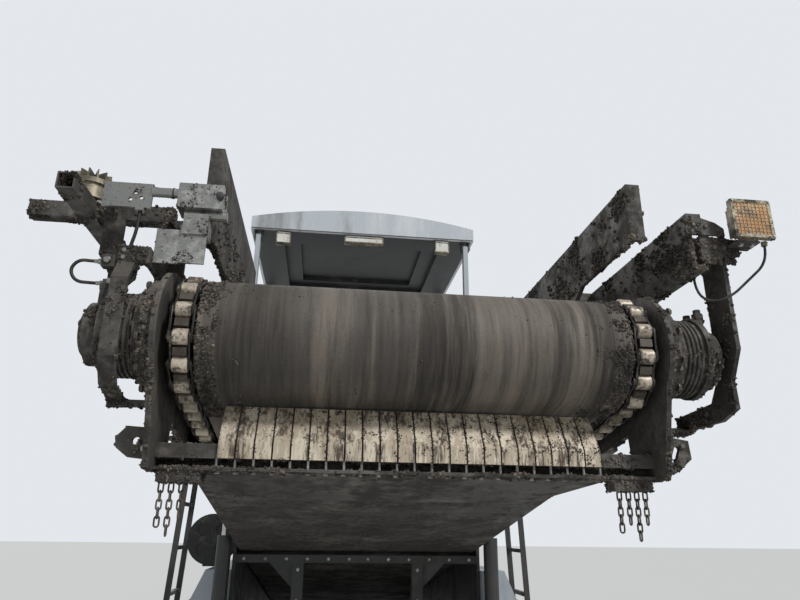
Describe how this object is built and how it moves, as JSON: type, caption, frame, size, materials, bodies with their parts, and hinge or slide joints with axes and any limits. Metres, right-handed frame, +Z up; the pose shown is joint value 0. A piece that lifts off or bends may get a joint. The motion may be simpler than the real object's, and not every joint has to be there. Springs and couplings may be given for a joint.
{
  "type": "material transfer vehicle",
  "caption": "Tracked asphalt feeder: a folding hopper in front, an operator deck under a folding roof and an inclined belt conveyor with a chain-driven discharge head.",
  "frame": {"origin": "on the ground under the middle of the machine's overall box", "axes": "+Z up, +Y forward to the hopper, +X to the machine's right"},
  "size_m": [2.66, 8.91, 4.13],
  "materials": {
    "frame_paint": "worn grey paint under asphalt dust",
    "body_paint": "light silver-grey machine paint",
    "dark_paint": "dark grey machine paint",
    "dirty_steel": "bare steel worn by asphalt",
    "worn_steel": "bright worn steel",
    "chain_steel": "oiled chain steel with worn rollers",
    "belt_rubber": "dusty belt rubber",
    "pad_rubber": "track pads",
    "hose_rubber": "hydraulic hose",
    "roof_shell": "glossy white-grey moulded shell",
    "lamp_body": "dusty lamp housing",
    "seat_vinyl": "black seat vinyl",
    "chrome_rod": "hard-chromed rod",
    "cast_dark": "engine casting"
  },
  "bodies": {
    "chassis": {"chassis_frame": "dark_paint", "track_left": "pad_rubber", "track_right": "pad_rubber", "undercarriages": "dark_paint", "side_hoods": "body_paint", "deck": "dark_paint", "guard_rails": "body_paint", "steps": "dark_paint", "engine_housing": "body_paint", "engine_block": "cast_dark", "hose_reel": "hose_rubber", "hopper_base": "body_paint"},
    "engine_door_left": {"engine_door_left": "body_paint"},
    "engine_door_right": {"engine_door_right": "body_paint"},
    "seat_left": {"seat_frame_left": "dark_paint", "seat_cushions_left": "seat_vinyl"},
    "seat_right": {"seat_frame_right": "dark_paint", "seat_cushions_right": "seat_vinyl"},
    "roof_posts_rear": {"roof_posts_rear": "body_paint"},
    "roof_posts_front": {"roof_posts_front": "body_paint"},
    "roof": {"roof_shell": "roof_shell", "roof_lining": "dark_paint", "roof_lamps": "lamp_body"},
    "hopper_wing_left": {"hopper_wing_left": "body_paint"},
    "hopper_wing_right": {"hopper_wing_right": "body_paint"},
    "hopper_flap": {"hopper_flap": "body_paint"},
    "push_beam": {"push_beam": "dark_paint"},
    "push_roller_left": {"push_roller_left": "dirty_steel"},
    "push_roller_right": {"push_roller_right": "dirty_steel"},
    "conveyor": {"conveyor_frame": "dark_paint", "conveyor_belt": "belt_rubber", "conveyor_chains": "chain_steel", "conveyor_shafts": "dirty_steel", "drive_motors": "frame_paint", "side_guides": "frame_paint", "scraper_beam": "frame_paint", "scraper_fingers": "worn_steel", "arm_right": "frame_paint", "work_lamp": "lamp_body", "arm_left": "frame_paint", "round_lamp": "lamp_body", "sensor_unit": "worn_steel", "hanging_chains": "chain_steel", "hose_loop": "hose_rubber", "hose_drop": "hose_rubber", "lamp_cable": "hose_rubber"},
    "lift_barrels": {"lift_barrels": "dark_paint"},
    "lift_rods": {"lift_rods": "chrome_rod"}
  },
  "joints": [
    {"name": "conveyor_lift", "type": "hinge", "parent": "chassis", "child": "conveyor", "pos_m": [0, 3.075, 0.73], "axis": [-1, 0, 0], "range_deg": [0, 4]},
    {"name": "lift_barrel_tilt", "type": "hinge", "parent": "chassis", "child": "lift_barrels", "pos_m": [0, -1.815, 1], "axis": [-1, 0, 0], "range_deg": [0, 4.56]},
    {"name": "lift_rod_slide", "type": "slide", "parent": "lift_barrels", "child": "lift_rods", "axis": [0, 0, 1], "range_m": [0, 0.3458]},
    {"name": "engine_door_left_hinge", "type": "hinge", "parent": "chassis", "child": "engine_door_left", "pos_m": [-0.9625, 1.445, 2.15], "axis": [0, 0, -1], "range_deg": [0, 100]},
    {"name": "engine_door_right_hinge", "type": "hinge", "parent": "chassis", "child": "engine_door_right", "pos_m": [0.9625, 1.445, 2.15], "axis": [0, 0, 1], "range_deg": [0, 100]},
    {"name": "seat_left_swivel", "type": "hinge", "parent": "chassis", "child": "seat_left", "pos_m": [-0.56, -0.06, 2.05], "axis": [0, 0, 1], "range_deg": [0, 30]},
    {"name": "seat_right_swivel", "type": "hinge", "parent": "chassis", "child": "seat_right", "pos_m": [0.56, -0.06, 2.05], "axis": [0, 0, -1], "range_deg": [0, 30]},
    {"name": "roof_fold", "type": "hinge", "parent": "chassis", "child": "roof_posts_rear", "pos_m": [0, -0.96, 2.11], "axis": [1, 0, 0], "range_deg": [0, 50]},
    {"name": "roof_front_posts", "type": "hinge", "parent": "chassis", "child": "roof_posts_front", "pos_m": [0, 0.48, 2.11], "axis": [1, 0, 0], "range_deg": [0, 50]},
    {"name": "roof_level", "type": "hinge", "parent": "roof_posts_rear", "child": "roof", "pos_m": [0, -0.96, 3.86], "axis": [-1, 0, 0], "range_deg": [0, 50]},
    {"name": "hopper_wing_left_fold", "type": "hinge", "parent": "chassis", "child": "hopper_wing_left", "pos_m": [-0.95, 2.8, 0.95], "axis": [0, -1, 0], "range_deg": [0, 62]},
    {"name": "hopper_wing_right_fold", "type": "hinge", "parent": "chassis", "child": "hopper_wing_right", "pos_m": [0.95, 2.8, 0.95], "axis": [0, 1, 0], "range_deg": [0, 62]},
    {"name": "hopper_flap_fold", "type": "hinge", "parent": "chassis", "child": "hopper_flap", "pos_m": [0, 3.971, 0.65], "axis": [-1, 0, 0], "range_deg": [0, 85]},
    {"name": "push_beam_turn", "type": "hinge", "parent": "chassis", "child": "push_beam", "pos_m": [0, 4.12, 0.517], "axis": [0, 0, 1], "range_deg": [-5, 5]},
    {"name": "push_roller_left_spin", "type": "hinge", "parent": "push_beam", "child": "push_roller_left", "pos_m": [-0.51, 4.355, 0.517], "axis": [1, 0, 0], "continuous": true},
    {"name": "push_roller_right_spin", "type": "hinge", "parent": "push_beam", "child": "push_roller_right", "pos_m": [0.51, 4.355, 0.517], "axis": [1, 0, 0], "continuous": true}
  ],
  "couplings": [
    {"joint": "lift_barrel_tilt", "follows": "conveyor_lift", "ratio": 1.0908},
    {"joint": "lift_rod_slide", "follows": "conveyor_lift", "m_per_rad": 4.8958},
    {"joint": "roof_front_posts", "follows": "roof_fold", "ratio": 1},
    {"joint": "roof_level", "follows": "roof_fold", "ratio": 1}
  ]
}
